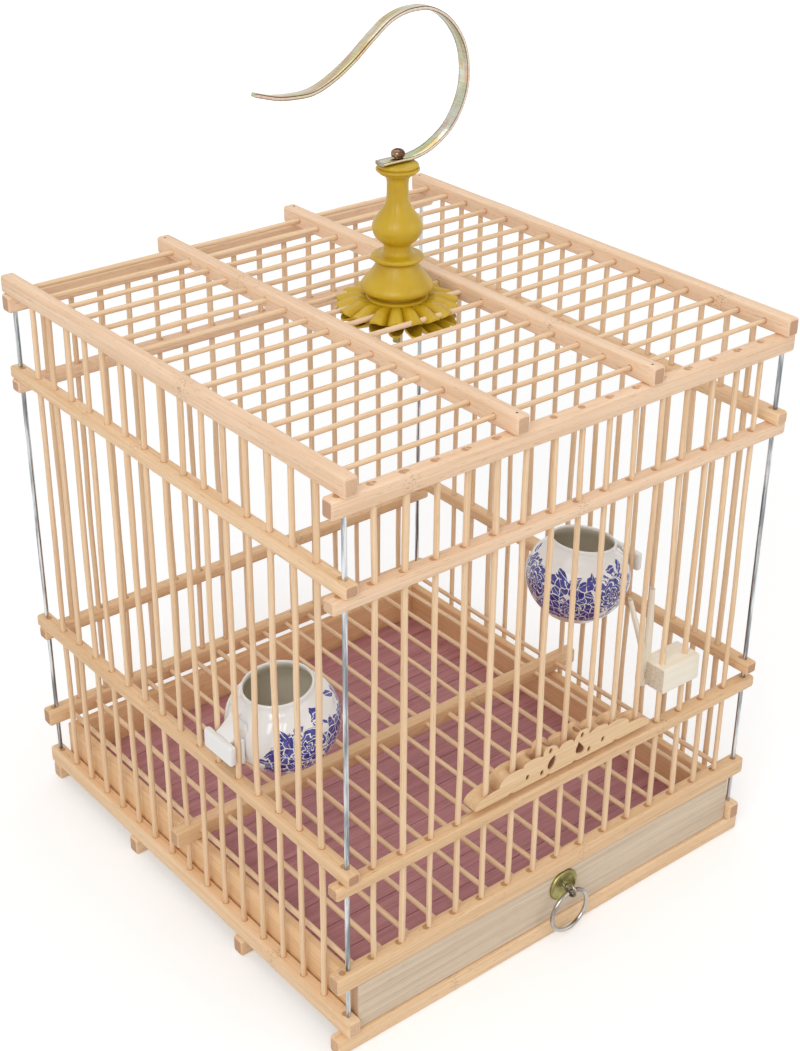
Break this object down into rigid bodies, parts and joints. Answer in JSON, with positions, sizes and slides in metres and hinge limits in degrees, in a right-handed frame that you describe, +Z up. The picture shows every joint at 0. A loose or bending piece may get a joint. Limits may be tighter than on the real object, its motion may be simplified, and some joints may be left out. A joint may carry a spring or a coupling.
{
  "type": "bird cage",
  "caption": "Square bamboo bird cage with lift-up bar door, pull-out drawer, porcelain cups, food clip and a turned finial with a hanging hook.",
  "frame": {"origin": "centre of the part's box, on the surface it stands on", "axes": "+Z up; -Y out of the front, where the door and the drawer are; +X to the right seen from the front"},
  "size_m": [0.234, 0.2406, 0.3688],
  "materials": {
    "bamboo": "satin pale bamboo",
    "tan_bamboo": "satin orange-tan bamboo",
    "pale_wood": "smooth pale wood",
    "stained_wood": "mauve stain",
    "bright_steel": "bright drawn wire",
    "yellow_zinc": "bright yellow zinc plate",
    "copper_screw": "coppery plated steel",
    "dull_brass": "dull brass",
    "mustard_plastic": "moulded mustard plastic",
    "porcelain": "glazed porcelain with blue print"
  },
  "bodies": {
    "cage": {"top_rail_left": "bamboo", "roof_grille": "bamboo", "top_rail_mid_right": "bamboo", "top_rail_right": "bamboo", "top_rail_front": "bamboo", "top_rail_back": "bamboo", "upper_rail_left": "bamboo", "upper_rail_right": "bamboo", "upper_rail_front": "bamboo", "upper_rail_back": "bamboo", "base_rail_left": "bamboo", "base_rail_right": "bamboo", "base_beam_front": "bamboo", "base_beam_mid_front": "bamboo", "base_beam_mid_back": "bamboo", "base_beam_back": "bamboo", "left_grille": "tan_bamboo", "right_grille": "tan_bamboo", "back_grille": "tan_bamboo", "front_grille": "tan_bamboo", "floor_beam_front": "tan_bamboo", "floor_grille": "tan_bamboo", "floor_beam_back": "tan_bamboo", "corner_rod_front_left": "bright_steel", "corner_rod_front_right": "bright_steel", "corner_rod_back_left": "bright_steel", "corner_rod_back_right": "bright_steel", "hook_screw": "copper_screw", "clamp_stud": "dull_brass", "clamp_nut": "dull_brass", "finial": "mustard_plastic", "upper_petals": "mustard_plastic", "lower_petals": "mustard_plastic"},
    "door": {"door_ornament": "bamboo", "door_bar_1": "bamboo", "door_bar_2": "bamboo", "door_bar_3": "bamboo", "door_bar_4": "bamboo", "door_bar_5": "bamboo", "door_bar_6": "bamboo", "door_bar_7": "bamboo"},
    "drawer": {"drawer_front": "pale_wood", "drawer_side_left": "tan_bamboo", "drawer_side_right": "tan_bamboo", "drawer_back": "tan_bamboo", "drawer_bottom": "tan_bamboo", "drawer_mat": "stained_wood", "ring_plate": "dull_brass", "ring_eye": "bright_steel"},
    "pull_ring": {"pull_ring": "bright_steel"},
    "hook": {"hook": "yellow_zinc"},
    "cup_left": {"cup_left": "porcelain"},
    "cup_right": {"cup_right": "porcelain"},
    "food_clip": {"food_clip": "pale_wood"}
  },
  "joints": [
    {"name": "door_lift", "type": "slide", "parent": "cage", "child": "door", "axis": [0, 0, 1], "range_m": [0, 0.1]},
    {"name": "drawer_slide", "type": "slide", "parent": "cage", "child": "drawer", "axis": [0, -1, 0], "range_m": [0, 0.16]},
    {"name": "ring_swing", "type": "hinge", "parent": "drawer", "child": "pull_ring", "pos_m": [0.003, -0.1169, 0.02327], "axis": [-1, 0, 0], "range_deg": [0, 150]},
    {"name": "hook_swivel", "type": "hinge", "parent": "cage", "child": "hook", "pos_m": [0.0035, 0.003, 0.3112], "axis": [0, 0, 1], "continuous": true},
    {"name": "cup_left_slide", "type": "slide", "parent": "cage", "child": "cup_left", "axis": [0, 0, 1], "range_m": [-0.005, 0.09]},
    {"name": "cup_right_slide", "type": "slide", "parent": "cage", "child": "cup_right", "axis": [0, 0, 1], "range_m": [-0.008, 0.085]},
    {"name": "food_clip_slide", "type": "slide", "parent": "cage", "child": "food_clip", "axis": [0, 0, 1], "range_m": [-0.016, 0.055]}
  ]
}
